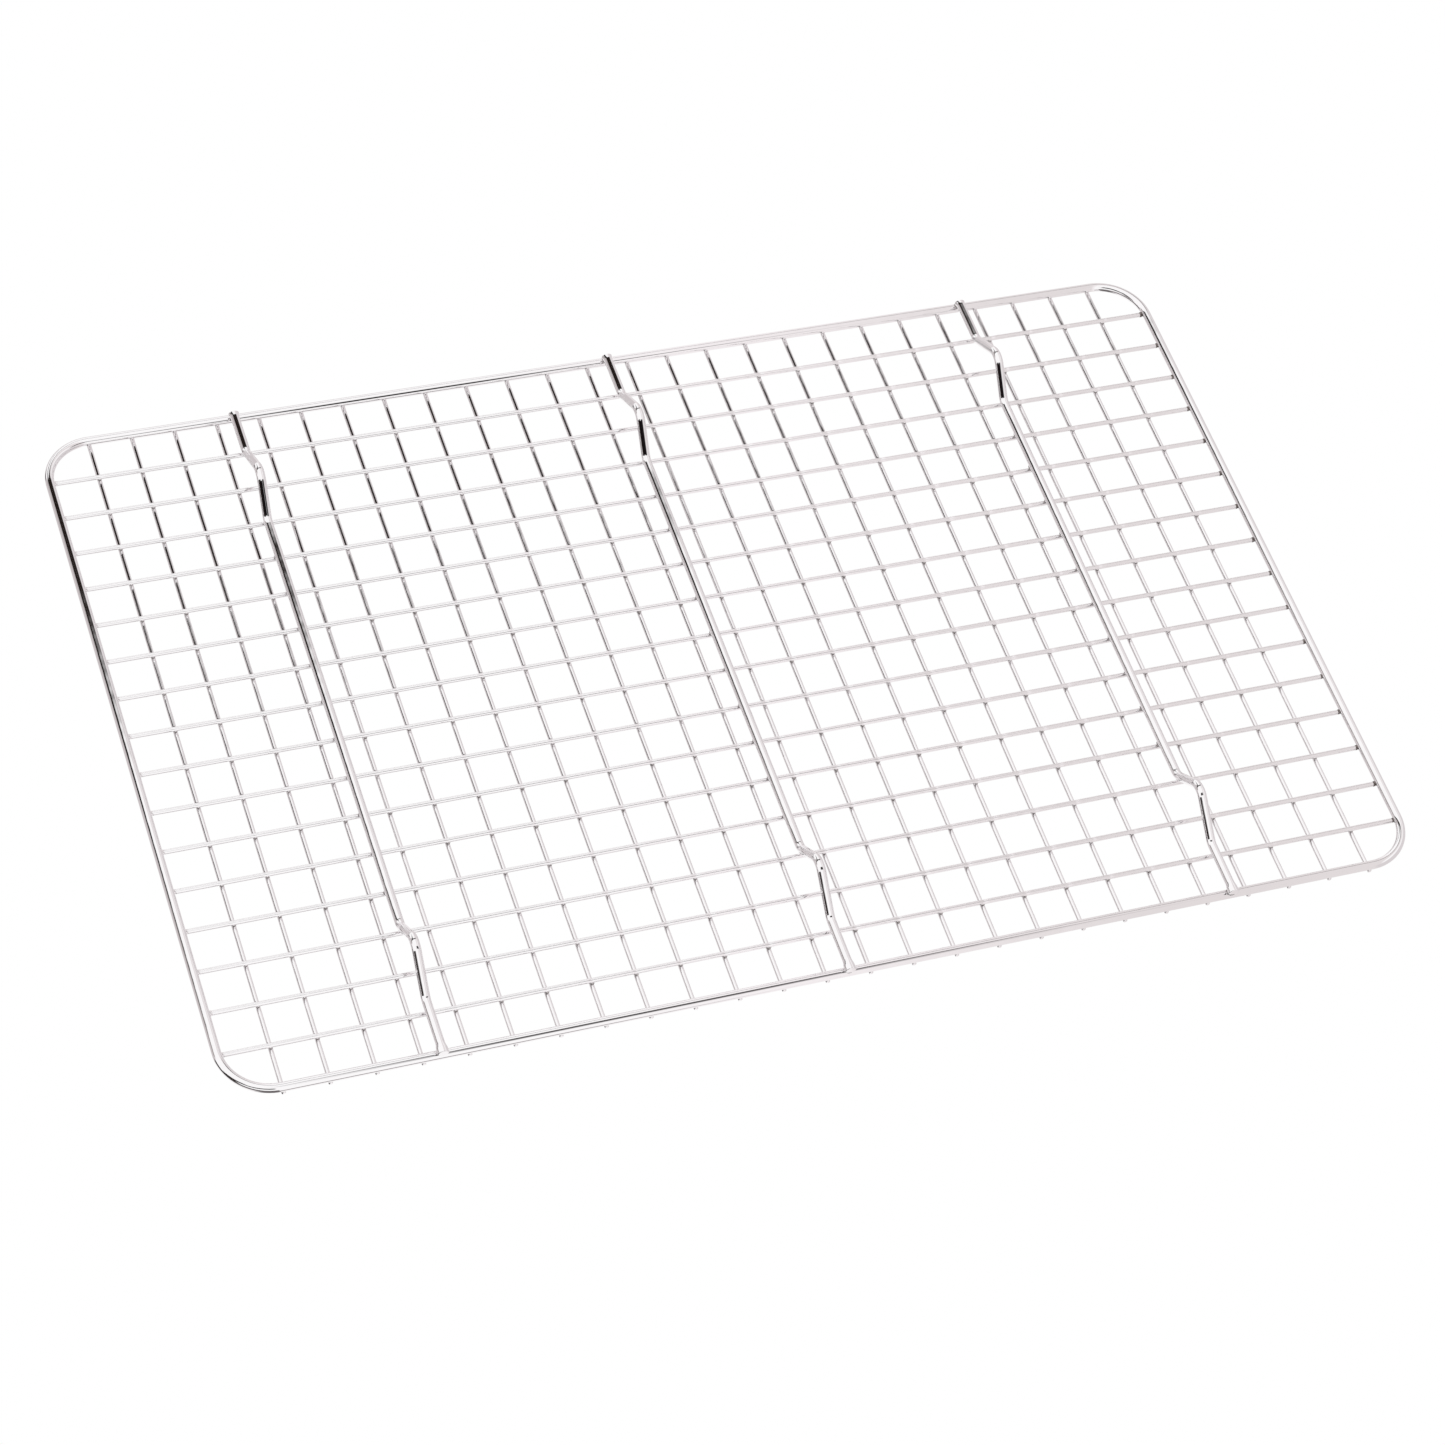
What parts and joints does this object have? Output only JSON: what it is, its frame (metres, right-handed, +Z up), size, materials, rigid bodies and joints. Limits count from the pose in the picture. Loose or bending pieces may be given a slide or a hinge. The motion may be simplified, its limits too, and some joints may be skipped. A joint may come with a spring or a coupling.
{
  "type": "cooling rack",
  "caption": "Rectangular chrome wire cooling rack with round corners, a close grid of thin wires and V-shaped feet, for cooling baked goods with air all round.",
  "frame": {"origin": "centre of the rack on the surface that its feet stand on", "axes": "+X along the rack's length, +Y across it, +Z up from the feet to the face that carries the goods"},
  "size_m": [0.4, 0.26, 0.017],
  "materials": {
    "frame_chrome": "bright chrome plating on thick drawn steel wire",
    "grid_chrome": "bright chrome plating on thin drawn steel wire",
    "support_chrome": "bright chrome plating on thick bent steel wire"
  },
  "bodies": {
    "root": {"frame_ring": "frame_chrome", "long_wire_01": "grid_chrome", "long_wire_02": "grid_chrome", "long_wire_03": "grid_chrome", "long_wire_04": "grid_chrome", "long_wire_05": "grid_chrome", "long_wire_06": "grid_chrome", "long_wire_07": "grid_chrome", "long_wire_08": "grid_chrome", "long_wire_09": "grid_chrome", "long_wire_10": "grid_chrome", "long_wire_11": "grid_chrome", "long_wire_12": "grid_chrome", "long_wire_13": "grid_chrome", "long_wire_14": "grid_chrome", "long_wire_15": "grid_chrome", "long_wire_16": "grid_chrome", "cross_wire_01": "grid_chrome", "cross_wire_02": "grid_chrome", "cross_wire_03": "grid_chrome", "cross_wire_04": "grid_chrome", "cross_wire_05": "grid_chrome", "cross_wire_06": "grid_chrome", "cross_wire_07": "grid_chrome", "cross_wire_08": "grid_chrome", "cross_wire_09": "grid_chrome", "cross_wire_10": "grid_chrome", "cross_wire_11": "grid_chrome", "cross_wire_12": "grid_chrome", "cross_wire_13": "grid_chrome", "cross_wire_14": "grid_chrome", "cross_wire_15": "grid_chrome", "cross_wire_16": "grid_chrome", "cross_wire_17": "grid_chrome", "cross_wire_18": "grid_chrome", "cross_wire_19": "grid_chrome", "cross_wire_20": "grid_chrome", "cross_wire_21": "grid_chrome", "cross_wire_22": "grid_chrome", "cross_wire_23": "grid_chrome", "cross_wire_24": "grid_chrome", "cross_wire_25": "grid_chrome", "cross_wire_26": "grid_chrome", "support_wire_1": "support_chrome", "support_wire_2": "support_chrome", "support_wire_3": "support_chrome"}
  },
  "joints": []
}
